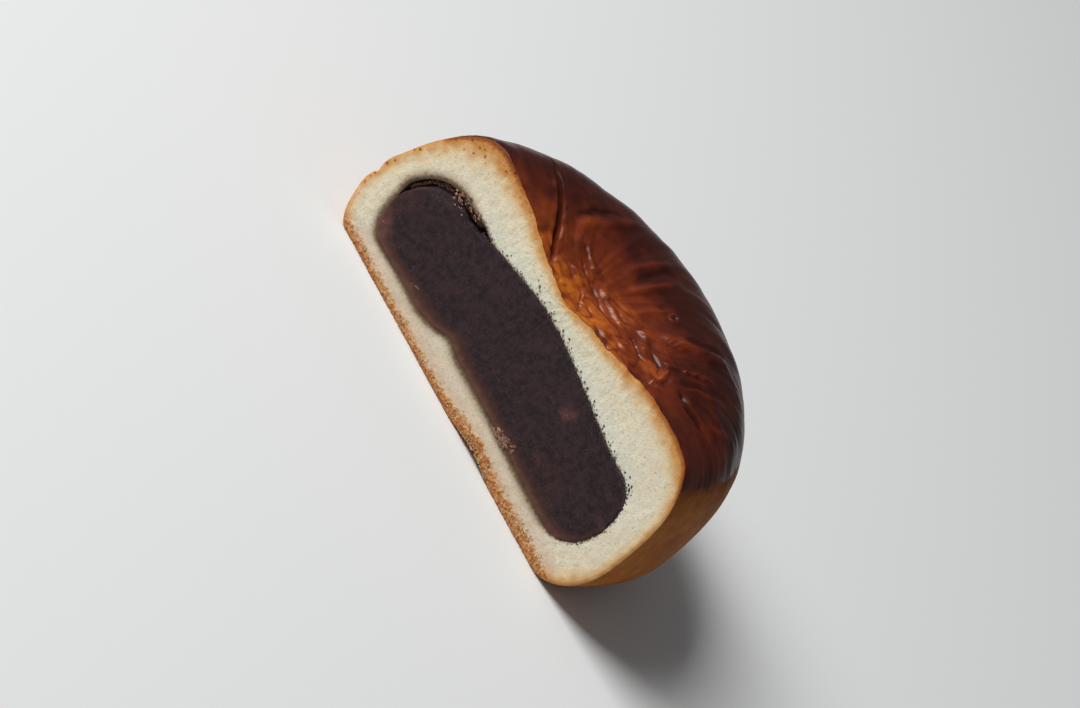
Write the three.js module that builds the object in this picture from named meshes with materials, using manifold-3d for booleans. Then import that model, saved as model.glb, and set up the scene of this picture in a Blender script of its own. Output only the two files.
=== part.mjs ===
// Half of a round baked bun filled with sweet bean paste, cut upright just off its middle.
// Millimetres, +Z up. The flat base rests on Z = 0 and the cut face looks along -Y.

import * as THREE from "three";
import { mergeVertices } from "three/addons/utils/BufferGeometryUtils.js";
import Module from "manifold-3d";

// Five stations stand evenly round the half bun: the +X end of the cut, the right back,
// the back, the left back and the -X end of the cut. A list gives one size at each of them.

const DOUGH = {
  reach: [37.6, 43.6, 42.2, 40.0, 37.6], // from the middle of the cut out to the widest line
  bellyHeight: [12.0, 9.0, 11.0, 9.8, 9.5], // height of the widest line
  rimHeight: [33.0, 35.6, 35.3, 33.4, 31.7], // height of the raised rim round the dimple
  rimPlace: [0.6, 0.54, 0.55, 0.6, 0.68], // where the rim stands, as a share of the reach
  footPlace: [0.78, 0.86, 0.85, 0.87, 0.88], // where the flat base ends, as a share of the reach
  sideFullness: [0.96, 0.71, 0.75, 0.62, 0.44], // how far up the side stays upright
  rimFullness: [0.58, 0.55, 0.6, 0.54, 0.5], // how far out the top stays level
};
const DIMPLE = { height: 28.0, brow: 0.7, bowl: 0.2 }; // brow and bowl: handles as shares of the rim's radius

const PLEATS = { count: 21, depth: 0.45, inner: 0.3, outer: 0.92 }; // folds drawn in to the dimple

const BASE = { corners: 28, drawnIn: 0.1 }; // the base bears on soft corners with drawn-in edges between

const PASTE = {
  reach: [32.0, 37.4, 36.0, 34.0, 32.0],
  bellyHeight: [13.9, 13.6, 13.4, 12.8, 11.6],
  floorHeight: [5.5, 5.6, 5.4, 4.8, 4.1],
  floorPlace: [0.8, 0.79, 0.79, 0.82, 0.86],
  roofHeight: [22.0, 22.6, 22.8, 22.0, 20.9],
  roofPlace: [0.84, 0.76, 0.74, 0.74, 0.75],
};
const PASTE_MIDDLE = { floor: 6.3, roof: 24.6 };

const POCKET_CLEARANCE = 0.3; // between the paste and the dough that wraps it
const STEAM = { gap: 1.0, fade: 4 }; // extra room that steam left over the paste at the -X end
const KNIFE = { offset: 0.2, room: 120 }; // the knife passes just behind the lines through the middle

const DOUGH_STEPS_AROUND = 84;
const PASTE_STEPS_AROUND = 56;
const STEPS_PER_CURVE = 11;
const ROUND = 0.55; // Bezier handle length that makes a quarter of a circle
const EVEN = { near: 1 / 3, far: 2 / 3 }; // Bezier handles that make a gently sloping line
const WELD = 1e-4; // corners closer than this are one

// Sizes round the bun

function sizeAt(sizes, azimuth) {
  const halfTurn = azimuth <= Math.PI ? azimuth : 2 * Math.PI - azimuth;
  const stations = sizes.map((size, i) => new THREE.Vector2(i, size));
  return new THREE.SplineCurve(stations).getPoint(halfTurn / Math.PI).y;
}

function sizesAt(table, azimuth) {
  return Object.fromEntries(
    Object.entries(table).map(([name, sizes]) => [name, sizeAt(sizes, azimuth)]),
  );
}

function curvePoints(path) {
  const points = path.getPoints(STEPS_PER_CURVE);
  points[0].x = 0;
  points[points.length - 1].x = 0;
  return points;
}

// Sections from the middle of the base out to the side and back to the middle of the top

function baseRadius(roundRadius, azimuth) {
  const side = (2 * Math.PI) / BASE.corners;
  const past = azimuth % side;
  const straight = Math.cos(side / 2) / Math.cos(past - side / 2);
  return roundRadius * straight - BASE.drawnIn * Math.sin((Math.PI * past) / side);
}

function doughSection(azimuth) {
  const at = sizesAt(DOUGH, azimuth);
  const foot = baseRadius(at.reach * at.footPlace, azimuth);
  const rim = at.reach * at.rimPlace;
  const rise = at.rimHeight - at.bellyHeight;
  const path = new THREE.Path();
  path.moveTo(0, 0);
  path.lineTo(foot, 0);
  path.bezierCurveTo(
    foot + ROUND * (at.reach - foot), 0,
    at.reach, (1 - ROUND) * at.bellyHeight,
    at.reach, at.bellyHeight,
  );
  path.bezierCurveTo(
    at.reach, at.bellyHeight + at.sideFullness * rise,
    rim + at.rimFullness * (at.reach - rim), at.rimHeight,
    rim, at.rimHeight,
  );
  path.bezierCurveTo(
    DIMPLE.brow * rim, at.rimHeight,
    DIMPLE.bowl * rim, DIMPLE.height,
    0, DIMPLE.height,
  );
  return curvePoints(path).map((point) => pleated(point, azimuth, at));
}

function pleated(point, azimuth, at) {
  const share = point.x / at.reach;
  if (point.y < DIMPLE.height || share < PLEATS.inner || share > PLEATS.outer) {
    return point;
  }
  const along = (share - PLEATS.inner) / (PLEATS.outer - PLEATS.inner);
  const fade = Math.sin(Math.PI * along);
  const wave = (1 + Math.cos(PLEATS.count * azimuth)) / 2;
  return new THREE.Vector2(point.x, point.y - PLEATS.depth * fade * wave);
}

function pasteSection(azimuth, clearance, steamGap) {
  const at = sizesAt(PASTE, azimuth);
  const leftward = (1 - Math.cos(azimuth)) / 2;
  const reach = at.reach + clearance;
  const floor = at.floorHeight - clearance;
  const roof = at.roofHeight + clearance + steamGap * leftward ** STEAM.fade;
  const floorEnd = at.reach * at.floorPlace;
  const roofEnd = at.reach * at.roofPlace;
  const middleRoof = PASTE_MIDDLE.roof + clearance;
  const path = new THREE.Path();
  path.moveTo(0, PASTE_MIDDLE.floor - clearance);
  path.bezierCurveTo(
    EVEN.near * floorEnd, PASTE_MIDDLE.floor - clearance,
    EVEN.far * floorEnd, floor,
    floorEnd, floor,
  );
  path.bezierCurveTo(
    floorEnd + ROUND * (reach - floorEnd), floor,
    reach, at.bellyHeight - ROUND * (at.bellyHeight - floor),
    reach, at.bellyHeight,
  );
  path.bezierCurveTo(
    reach, at.bellyHeight + ROUND * (roof - at.bellyHeight),
    roofEnd + ROUND * (reach - roofEnd), roof,
    roofEnd, roof,
  );
  path.bezierCurveTo(
    EVEN.far * roofEnd, roof,
    EVEN.near * roofEnd, middleRoof,
    0, middleRoof,
  );
  return curvePoints(path);
}

// Solids

function turnedGeometry(sectionAt, stepsAround) {
  const pointCount = sectionAt(0).length;
  const geometry = new THREE.LatheGeometry(sectionAt(0), stepsAround);
  const position = geometry.getAttribute("position");
  for (let step = 0; step <= stepsAround; step += 1) {
    const azimuth = (step / stepsAround) * 2 * Math.PI;
    sectionAt(azimuth).forEach((point, i) => {
      const x = point.x * Math.cos(azimuth);
      const y = point.x * Math.sin(azimuth);
      position.setXYZ(step * pointCount + i, x, y, point.y);
    });
  }
  return geometry;
}

function mergedCorners(geometry) {
  geometry.deleteAttribute("normal");
  geometry.deleteAttribute("uv");
  return mergeVertices(geometry, WELD);
}

const wasm = await Module();
wasm.setup();

function solidFrom(geometry) {
  const merged = mergedCorners(geometry);
  const corners = merged.getIndex().array;
  const triangles = [];
  for (let i = 0; i < corners.length; i += 3) {
    const [a, b, c] = corners.slice(i, i + 3);
    if (a !== b && b !== c && c !== a) {
      triangles.push(a, b, c);
    }
  }
  const mesh = new wasm.Mesh({
    numProp: 3,
    vertProperties: new Float32Array(merged.getAttribute("position").array),
    triVerts: new Uint32Array(triangles),
  });
  return new wasm.Manifold(mesh);
}

function geometryFrom(solid) {
  const mesh = solid.getMesh();
  const geometry = new THREE.BufferGeometry();
  geometry.setAttribute("position", new THREE.BufferAttribute(mesh.vertProperties, 3));
  geometry.setIndex(new THREE.BufferAttribute(mesh.triVerts, 1));
  geometry.computeVertexNormals();
  return geometry;
}

function roomInFrontOfKnife() {
  const box = new THREE.BoxGeometry(KNIFE.room, KNIFE.room, KNIFE.room);
  box.translate(0, KNIFE.offset - KNIFE.room / 2, 0);
  return solidFrom(box);
}

function breadGeometry() {
  const bun = solidFrom(turnedGeometry(doughSection, DOUGH_STEPS_AROUND));
  const pocketSection = (azimuth) => pasteSection(azimuth, POCKET_CLEARANCE, STEAM.gap);
  const pocket = solidFrom(turnedGeometry(pocketSection, PASTE_STEPS_AROUND));
  return geometryFrom(bun.subtract(pocket).subtract(roomInFrontOfKnife()));
}

function pasteGeometry() {
  const section = (azimuth) => pasteSection(azimuth, 0, 0);
  const paste = solidFrom(turnedGeometry(section, PASTE_STEPS_AROUND));
  return geometryFrom(paste.subtract(roomInFrontOfKnife()));
}

// Materials

function breadMaterial() {
  return new THREE.MeshStandardMaterial({ color: 0x9a5a2c, roughness: 0.45, metalness: 0 });
}

function pasteMaterial() {
  return new THREE.MeshStandardMaterial({ color: 0x33272a, roughness: 0.85, metalness: 0 });
}

// The half bun

function namedMesh(name, geometry, material) {
  const mesh = new THREE.Mesh(geometry, material);
  mesh.name = name;
  return mesh;
}

function halfBun() {
  const bread = namedMesh("bread", breadGeometry(), breadMaterial());
  const paste = namedMesh("bean_paste", pasteGeometry(), pasteMaterial());
  const group = new THREE.Group();
  group.add(bread, paste);
  const middle = new THREE.Box3().setFromObject(bread).getCenter(new THREE.Vector3());
  group.position.set(-middle.x, -middle.y, 0);
  return group;
}

export default halfBun();
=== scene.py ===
"""Looks of half a baked anpan: glazed crust, pale crumb, bean paste and small scraps, on a pale floor."""

import math

import bmesh
import bpy
import numpy as np
from bpy.props import FloatProperty, FloatVectorProperty, IntProperty, PointerProperty
from mathutils import Matrix, Vector, noise


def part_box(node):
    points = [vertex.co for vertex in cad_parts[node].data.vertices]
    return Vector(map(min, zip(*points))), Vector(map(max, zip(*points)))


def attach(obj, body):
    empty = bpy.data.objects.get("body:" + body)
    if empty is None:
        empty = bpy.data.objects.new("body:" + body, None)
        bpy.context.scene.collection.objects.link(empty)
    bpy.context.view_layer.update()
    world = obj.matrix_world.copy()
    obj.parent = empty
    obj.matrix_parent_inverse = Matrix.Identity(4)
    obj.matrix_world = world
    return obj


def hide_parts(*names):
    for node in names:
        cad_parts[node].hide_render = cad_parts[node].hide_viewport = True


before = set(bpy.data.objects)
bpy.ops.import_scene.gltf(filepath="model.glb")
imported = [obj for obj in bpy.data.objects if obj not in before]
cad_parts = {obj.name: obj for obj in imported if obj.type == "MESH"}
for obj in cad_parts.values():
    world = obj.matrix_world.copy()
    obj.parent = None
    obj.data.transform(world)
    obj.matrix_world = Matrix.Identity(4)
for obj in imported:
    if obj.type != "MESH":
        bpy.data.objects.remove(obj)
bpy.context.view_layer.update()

bl_info = {
    "name": "Cut Anpan",
    "version": (1, 0, 0),
    "blender": (4, 5, 0),
    "location": "3D View > Sidebar > Anpan",
    "description": "Builds half of a baked bun filled with bean paste, and its stage",
    "category": "Add Mesh",
}

MM = 0.001

# A place along a section is 0 in the middle of the base, 1 at its foot, 2 at the widest line, 3 at the rim
# and 4 in the middle of the top. A turn round the bun is 0 at the +X end of the cut and 1 at the -X end.
LAST = 3.9999  # just short of the middle of the top
ROUND = 0.55  # handle length that makes a quarter circle
DIMPLE_BROW, DIMPLE_BOWL = 0.7, 0.2  # handles of the dimple, as shares of the rim's radius
COLUMNS = 36  # mesh columns in each stretch of a section, four times that on the top

# Plan points in mm, from the middle of the cut, of the one deep crease that runs over the rim
DEEP_CREASE = (
    (-25.5, 12.3), (-22.8, 10.7), (-20.2, 9.7), (-15.5, 6.8), (-13.0, 5.0), (-10.0, 2.7), (-7.2, 0.5),
)
BUBBLE = (6.8, 16.5)  # plan point of a small burst bubble
THIN = 0.5  # strokes with a smaller half width come and go along their way

# Strokes in the top round the dimple, each with its depth and half width in mm and the plan points
# that it passes through. A negative depth is a raised fold.
STROKES = (
    (0.20, 0.26, ((-9.0, 7.8), (-6.0, 6.9), (-3.0, 6.5), (1.0, 5.9), (4.6, 5.2))),
    (0.18, 0.24, ((-7.6, 3.4), (-4.6, 4.0), (-1.6, 3.9), (0.6, 2.2), (3.0, 2.2))),
    (0.18, 0.24, ((6.2, 5.2), (8.8, 6.2), (11.4, 4.9), (13.4, 4.6))),
    (0.20, 0.25, ((8.2, 3.6), (9.8, 1.9), (11.2, 0.2))),
    (0.22, 0.28, ((11.6, 7.2), (14.2, 6.9), (16.8, 4.8))),
    (0.18, 0.25, ((14.6, 2.4), (16.2, 1.2), (17.4, 0.1))),
    (0.34, 0.36, ((18.9, 6.8), (22.1, 6.1), (24.6, 7.0), (28.2, 7.0))),
    (0.26, 0.32, ((16.1, 8.0), (17.3, 6.0), (18.1, 3.8))),
    (0.26, 0.60, ((-14.2, 9.6), (-14.2, 14.0), (-13.2, 20.0))),
    (0.32, 0.70, ((-1.6, 14.0), (-1.5, 19.0), (-0.9, 25.0))),
    (0.34, 0.75, ((10.6, 14.6), (13.2, 18.0), (14.6, 24.0))),
    (0.30, 0.60, ((17.6, 7.6), (20.4, 12.0), (22.4, 18.0))),
    (-0.36, 1.00, ((-12.4, 8.4), (-12.4, 13.0), (-11.6, 19.0), (-10.2, 25.0))),
    (-0.26, 0.75, ((-3.6, 13.5), (-3.4, 19.0), (-2.8, 25.5))),
    (-0.30, 0.80, ((0.3, 11.0), (0.6, 17.0), (1.3, 25.0))),
    (-0.24, 0.65, ((4.0, 10.5), (4.6, 14.0), (6.2, 19.0))),
    (-0.46, 1.10, ((8.4, 10.4), (11.6, 13.6), (15.0, 18.0), (17.4, 24.0))),
    (-0.36, 0.60, ((18.6, 8.4), (20.2, 9.9), (21.8, 13.7), (22.8, 17.0))),
    (-0.24, 0.55, ((25.6, 8.2), (27.4, 12.0), (28.4, 17.0))),
    (-0.46, 0.49, ((-10.2, 9.6), (-7.7, 9.2), (-6.2, 8.5), (-4.0, 8.0))),
    (-0.46, 0.49, ((-8.2, 4.3), (-6.5, 4.8), (-4.8, 5.2), (-2.4, 5.1))),
    (-0.34, 0.48, ((-2.8, 8.8), (-0.8, 7.9), (1.0, 7.5), (2.8, 7.2), (4.9, 6.6), (6.3, 7.0))),
    (-0.28, 0.42, ((-1.0, 2.8), (0.4, 3.4), (2.0, 4.0))),
    (-0.32, 0.46, ((-8.2, 1.6), (-7.3, 2.7), (-5.9, 3.6))),
    (-0.30, 0.42, ((4.1, 0.9), (5.3, 1.5), (7.0, 1.5), (8.0, 1.1))),
    (-0.34, 0.46, ((7.0, 9.0), (8.8, 9.0), (10.2, 7.4), (11.6, 6.2))),
    (-0.42, 0.49, ((11.0, 7.3), (13.0, 7.9), (15.0, 8.5), (16.4, 10.1), (18.2, 13.3), (20.0, 16.6))),
    (-0.30, 0.44, ((5.3, 3.8), (8.7, 3.3), (10.6, 3.4))),
    (-0.32, 0.44, ((-4.5, 0.7), (-3.5, 1.9), (-1.8, 2.6))),
    (-0.28, 0.42, ((18.9, 7.9), (22.1, 7.2), (24.6, 8.1), (28.2, 8.2), (31.0, 9.2))),
    (-0.34, 0.42, ((15.1, 8.3), (16.2, 6.4), (17.0, 3.8), (16.8, 1.2))),
    (-0.30, 0.46, ((13.8, 3.9), (16.4, 2.9), (19.4, 2.6))),
)

# How far the dimple's edge at the cut stands over the even dimple, and where along it and how broadly, in mm
EDGE_SWELLS = (
    (0.5, 5.5, 3.2), (-0.4, -8.5, 3.2), (-0.25, -2.5, 2.2), (0.4, -15.0, 2.0), (-0.75, 15.0, 2.2),
    (-0.35, -12.3, 1.2),
)

# Width in mm of the browned band on the cut, at places along the section, at the +X end and at the -X end
BAND_PLACES = (1.0, 1.6, 2.0, 2.25, 2.5, 2.75, 3.0, 3.3, 3.55, 4.0)
BAND_AT_X = (3.0, 2.8, 2.0, 2.1, 3.4, 4.0, 3.3, 2.8, 1.9, 1.3)
BAND_AT_MINUS_X = (2.4, 2.2, 2.1, 2.8, 3.7, 4.0, 3.1, 2.8, 2.0, 1.3)

# Bean skins that show in the paste: x, z and size in mm on the cut, and how plainly each shows
SKIN_PATCHES = (
    (13.9, 18.9, 1.3, 0.42), (13.4, 17.8, 0.6, 0.5), (-30.0, 7.2, 1.2, 0.6), (-28.2, 5.8, 1.1, 0.55),
    (-18.0, 6.0, 0.5, 0.45), (28.2, 6.2, 0.9, 0.45), (17.2, 10.2, 0.7, 0.22), (30.9, 14.8, 0.8, 0.25),
)

# Heaps of flakes: x and z in mm on the cut, how many, and their size in mm
SKIN_HEAPS = (
    (-30, 7, 5, 0.26), (-28.5, 5.8, 5, 0.24), (-18, 6.1, 3, 0.22),
    (13.7, 18.7, 4, 0.26), (10.5, 7.0, 5, 0.26),
)
TORN_HEAPS = (
    (-25.6, 21.3, 18, 0.22), (-23.6, 21.8, 20, 0.22), (-21.2, 22.0, 14, 0.20), (-24.4, 20.4, 14, 0.24),
    (9.9, 6.4, 22, 0.44), (11.2, 6.6, 22, 0.42), (12.7, 7.3, 9, 0.28), (-4.9, 25.4, 3, 0.2),
)
# Clusters of paste crumbs along the paste's upper edge: from and to in mm, and their share
EDGE_CLUSTERS = ((-18, -12, 2), (-10, -4, 1), (-3, 9, 4), (9, 17, 4), (17, 30, 7), (29, 31.6, 3))
# Line of the steam gap: share of the way along it, x and z in mm
GAP_SHARES, GAP_X, GAP_Z = (0, 0.3, 0.6, 1), (-31.7, -30.0, -26.7, -19.0), (14.2, 18.2, 20.6, 21.7)

# Looks of each kind of scrap: its finish's name, how it is squashed, the seed of its lumps, its darkest and
# lightest colour, its roughness and whose slot it shares
SCRAP_LOOKS = {
    "paste_crumbs": (
        "Paste crumb", (1.3, 0.6, 1.1), 12,
        (0.020, 0.013, 0.014), (0.080, 0.040, 0.036), 0.7, "bean_paste",
    ),
    "bean_skins": (
        "Bean skin", (1.3, 0.35, 0.9), 14,
        (0.085, 0.030, 0.027), (0.23, 0.115, 0.090), 0.5, "bean_paste",
    ),
    "torn_crumb": (
        "Torn crumb", (1.4, 0.45, 0.8), 15,
        (0.12, 0.045, 0.028), (0.45, 0.25, 0.16), 0.8, "bread",
    ),
    # Partly painted shade: brown crumb set deep in the steam gap and darkened to stand in for its shade.
    "stained_and_shaded_crumb": (
        "Stained and shaded crumb", (1.2, 0.8, 0.9), 17,
        (0.042, 0.016, 0.007), (0.115, 0.048, 0.020), 0.9, "bread",
    ),
    "toasted_grains": (
        "Toasted grain", (1.1, 0.7, 0.9), 16,
        (0.25, 0.115, 0.045), (0.64, 0.41, 0.22), 0.8, "bread",
    ),
}

# Colours of dough from raw crumb to dark crust, and of the egg glaze from its darkest to its most amber
BAKED = (
    (0.0, (0.80, 0.765, 0.62)), (0.20, (0.78, 0.615, 0.38)), (0.40, (0.64, 0.325, 0.110)),
    (0.55, (0.44, 0.150, 0.032)), (0.72, (0.27, 0.078, 0.016)), (1.0, (0.07, 0.022, 0.010)),
)
GLAZED = (
    (0.0, (0.034, 0.0055, 0.0026)), (0.25, (0.082, 0.0110, 0.0032)), (0.50, (0.150, 0.0235, 0.0042)),
    (0.75, (0.285, 0.0570, 0.0065)), (1.0, (0.440, 0.1180, 0.0110)),
)
# Tints of the crumb: in broad clouds, near the base, in blotches, in its grain and over the paste
CLOUD_TINT, BASE_TINT, BLOTCH_TINT = (0.96, 0.93, 0.91), (0.88, 0.81, 0.84), (0.90, 0.86, 0.80)
GRAIN_TINT, COOL_TINT = (0.86, 0.85, 0.82), (0.90, 0.96, 1.0)
# Painted shade in the crumb's pores; crumb where paste soaked in, beside it, and where the knife dragged it
PORE_SHADE, SOAKED = (0.40, 0.355, 0.26), (0.36, 0.255, 0.155)
STAINED, DRAGGED = (0.105, 0.062, 0.034), (0.050, 0.036, 0.034)
# The paste: its dark and light lumps, mottling, red floor, stained edge, bean skins and grain
PASTE_DARK, PASTE_LIGHT = (0.0185, 0.0110, 0.0127), (0.0320, 0.0185, 0.0208)
PASTE_MOTTLED, PASTE_RED = (0.0420, 0.0212, 0.0262), (0.080, 0.029, 0.022)
PASTE_STAIN, BEAN_SKIN = (0.135, 0.064, 0.038), (0.165, 0.062, 0.060)
PASTE_GRAIN = (0.105, 0.074, 0.078)

KEY_DIRECTION, KEY_DISTANCE, KEY_SIZE, KEY_POWER = (-0.66, -0.36, 0.66), 1.2, 0.7, 19.0
SKY_COLOUR, SKY_STRENGTH = (0.95, 0.97, 1.0, 1), 0.13
SENSOR_WIDTH = 36

# ---- Shape of the bun


def sizes_at(settings, turn):
    """Each of the stations' sizes at each turn, by a smooth curve through the stations."""
    return [round_the_bun(getattr(settings, name), turn) for name in settings.STATIONS]


def round_the_bun(sizes, turn):
    """A size at each turn, by a smooth curve through the stations."""
    known = np.asarray(sizes, float)
    last = len(known) - 1
    place = np.clip(turn, 0, 1) * last
    i = np.minimum(place.astype(int), last - 1)
    t = place - i
    a, b = known[np.maximum(i - 1, 0)], known[i]
    c, d = known[i + 1], known[np.minimum(i + 2, last)]
    return 0.5 * (2 * b + (c - a) * t + (2 * a - 5 * b + 4 * c - d) * t**2 + (3 * b - a - 3 * c + d) * t**3)


def stretch(handles, t):
    """A Bezier curve through four handles."""
    a, b, c, d = handles
    return (1 - t) ** 3 * a + 3 * (1 - t) ** 2 * t * b + 3 * (1 - t) * t**2 * c + t**3 * d


def quarter(inner, outer, low, high):
    """Radius and height handles of a quarter round that leaves level and ends upright."""
    radius = (inner, inner + ROUND * (outer - inner), outer, outer)
    height = (low, low, high - ROUND * (high - low), high)
    return radius, height


def section(stretches, along):
    """Radius and height at each place along a section of four stretches."""
    piece = np.clip(along.astype(int), 0, 3)
    t = along - piece
    radius, height = np.zeros_like(t), np.zeros_like(t)
    for k, (out, up) in enumerate(stretches):
        here = piece == k
        radius[here] = stretch(out, t)[here]
        height[here] = stretch(up, t)[here]
    return radius, height


def dough_section(dough, turn, along):
    """The outer skin of the dough."""
    reach, belly, top, rim_place, foot_place, side_fullness, rim_fullness = sizes_at(dough, turn)
    foot, rim = reach * foot_place, reach * rim_place
    zero, dimple = 0 * reach, 0 * reach + dough.dimple_height
    shoulder = belly + side_fullness * (top - belly)
    level = rim + rim_fullness * (reach - rim)
    stretches = (
        ((zero, foot / 3, 2 * foot / 3, foot), (zero, zero, zero, zero)),
        quarter(foot, reach, zero, belly),
        ((reach, reach, level, rim), (belly, shoulder, top, top)),
        ((rim, DIMPLE_BROW * rim, DIMPLE_BOWL * rim, zero), (top, top, dimple, dimple)),
    )
    return section(stretches, along)


def paste_section(paste, turn, along, grow=0.0):
    """The outside of the bean paste, or of its pocket when it grows."""
    reach, belly, floor, floor_place, roof, roof_place = sizes_at(paste, turn)
    floor_end, roof_end = reach * floor_place, reach * roof_place
    reach, floor, roof = reach + grow, floor - grow, roof + grow
    zero = 0 * reach
    middle_floor = zero + paste.middle_floor - grow
    middle_roof = zero + paste.middle_roof + grow
    stretches = (
        ((zero, floor_end / 3, 2 * floor_end / 3, floor_end), (middle_floor, middle_floor, floor, floor)),
        quarter(floor_end, reach, floor, belly),
        [handles[::-1] for handles in quarter(roof_end, reach, roof, belly)],
        ((roof_end, 2 * roof_end / 3, roof_end / 3, zero), (roof, roof, middle_roof, middle_roof)),
    )
    radius, height = section(stretches, along)
    x, y = radius * np.cos(np.pi * turn) / MM, radius * np.sin(np.pi * turn) / MM
    return radius, height + floor_wave(x, y, along) * MM


def floor_wave(x, y, along):
    """Rise of the paste's floor in mm: low under the -X half, with a bump of bread and a step beside it."""
    wave = bell(x, -7.5, 2.1) - 0.7 * bell(x, -14.5, 4.0)
    return wave * bell(y, 0, 12.0) * np.clip(1.3 - along, 0, 0.5) * 2


def steam_void(turn, along):
    """Share of the steam gap left over the paste, at the -X shoulder only."""
    return window(turn, 0.98, 1.1, 0.06) * window(along, 2.18, 3.18, 0.22)


def pocket_section(paste, turn, along):
    """The wall round the paste: a little inside the paste's skin, with the steam gap over one shoulder."""
    radius, height = paste_section(paste, turn, along, -paste.tuck)
    gap = steam_void(turn, along) * (paste.steam_gap + paste.tuck)
    roof = np.clip(along - 2, 0, 1)
    return radius + gap * (1 - roof) * 0.7, height + gap * (0.35 + 0.65 * roof)


def paste_edge(paste, x, upper):
    """Height of the paste's upper or lower edge on the cut at places along it, in metres."""
    along = np.linspace(2, LAST, 120) if upper else np.linspace(2, 0, 120)
    out = np.zeros(len(x))
    for end, side in ((0.0, x >= 0), (1.0, x < 0)):
        radius, height = paste_section(paste, np.full(len(along), end), along)
        out[side] = np.interp(-np.abs(x[side]), -radius, height)
    return out


def shaped(radius, height, turn):
    """Places from a section's radius and height, with the cut at y = 0."""
    return np.stack([radius * np.cos(np.pi * turn), radius * np.sin(np.pi * turn), height], 1)


def cut_edges(bread, paste, turn, along):
    """Places on the skin and on the pocket's wall that face each other across the cut."""
    outer = shaped(*dough_section(bread, turn, along), turn)
    return outer, shaped(*pocket_section(paste, turn, along), turn)


def ring_share(inward):
    """Share of the way from the skin to the pocket of each ring of the cut face, closer together at both."""
    return 0.6 * inward + 0.4 * (0.5 - 0.5 * np.cos(np.pi * inward))


def middle_of_cut(bread):
    """Where the middle of the cut's lower edge is in the row frame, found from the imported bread's box."""
    low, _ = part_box("bread")
    turn = np.linspace(0, 1, 721)
    reach, _ = dough_section(bread, turn, 0 * turn + 2)
    return np.array([low.x - min(reach * np.cos(np.pi * turn)), low.y, 0.0])


# ---- Fields


def window(value, low, high, soft):
    """1 between low and high, fading to 0 over soft outside them."""
    up = np.clip((value - low) / soft + 1, 0, 1)
    down = np.clip((high - value) / soft + 1, 0, 1)
    return eased(np.minimum(up, down))


def eased(share):
    """A share from 0 to 1 that starts and ends gently."""
    return share * share * (3 - 2 * share)


def bell(value, middle, width):
    """1 at the middle, fading to 0 on both sides."""
    return np.exp(-(((value - middle) / width) ** 2))


def cloud(points, size, seed=0, octaves=1):
    """Smooth noise from about -1 to 1, in lumps of about that size."""
    shift = Vector((7.31, 3.17, 5.73)) * (seed + 1)
    spots = [Vector(p) + shift for p in (points / size).tolist()]
    if octaves == 1:
        return np.array([noise.noise(p) for p in spots])
    return np.array([noise.fractal(p, 0.9, 2.1, octaves) for p in spots])


def spokes(turn, reach, count, run):
    """Places at which noise makes streaks that run outwards: more of them with count, shorter with run."""
    return np.stack([np.cos(turn) * count, np.sin(turn) * count, reach * run], 1)


def to_stroke(x, y, points):
    """Distance from plan points to a stroke, and the share of the way along it."""
    best, share = np.full(len(x), np.inf), np.zeros(len(x))
    steps = len(points) - 1
    for i, ((x0, y0), (x1, y1)) in enumerate(zip(points, points[1:])):
        dx, dy = x1 - x0, y1 - y0
        t = np.clip(((x - x0) * dx + (y - y0) * dy) / (dx * dx + dy * dy), 0, 1)
        away = np.hypot(x - x0 - t * dx, y - y0 - t * dy)
        nearer = away < best
        best[nearer] = away[nearer]
        share[nearer] = ((i + t) / steps)[nearer]
    return best, share


# ---- Mesh tools


def object_mode():
    """Out of edit mode."""
    bpy.ops.object.mode_set(mode="OBJECT")


def fresh_start():
    """Object mode with nothing selected."""
    if bpy.context.object and bpy.context.object.mode != "OBJECT":
        object_mode()
    bpy.ops.object.select_all(action="DESELECT")


def only(ob):
    """Object mode with one object selected and active."""
    fresh_start()
    bpy.context.view_layer.objects.active = ob
    ob.select_set(True)


def edit(ob, select="SELECT"):
    """Edit mode on one object, with all or none of it selected."""
    only(ob)
    bpy.ops.object.mode_set(mode="EDIT")
    bpy.ops.mesh.select_all(action=select)


def edit_open_edge(ob):
    """Edit mode with only the open edge selected."""
    edit(ob, "DESELECT")
    bpy.ops.mesh.select_mode(type="EDGE")
    bpy.ops.mesh.select_non_manifold()


def vectors(mesh, name):
    """Every vertex's place or normal."""
    out = np.empty(len(mesh.vertices) * 3, np.float32)
    mesh.vertices.foreach_get(name, out)
    return out.reshape(-1, 3).astype(float)


def places(mesh):
    """Every vertex's place."""
    return vectors(mesh, "co")


def put(mesh, co):
    """Moves every vertex to its new place."""
    mesh.vertices.foreach_set("co", co.astype(np.float32).ravel())
    mesh.update()


def read(mesh, name):
    """A float attribute of every vertex."""
    out = np.empty(len(mesh.vertices), np.float32)
    mesh.attributes[name].data.foreach_get("value", out)
    return out.astype(float)


def write(mesh, name, values):
    """Sets a float attribute on every vertex."""
    layer = mesh.attributes.get(name) or mesh.attributes.new(name, "FLOAT", "POINT")
    layer.data.foreach_set("value", np.asarray(values, np.float32))


def turn_of(co):
    """Share of the half turn from the +X end, at each vertex."""
    return np.arctan2(np.maximum(co[:, 1], 0), co[:, 0]) / np.pi


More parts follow.
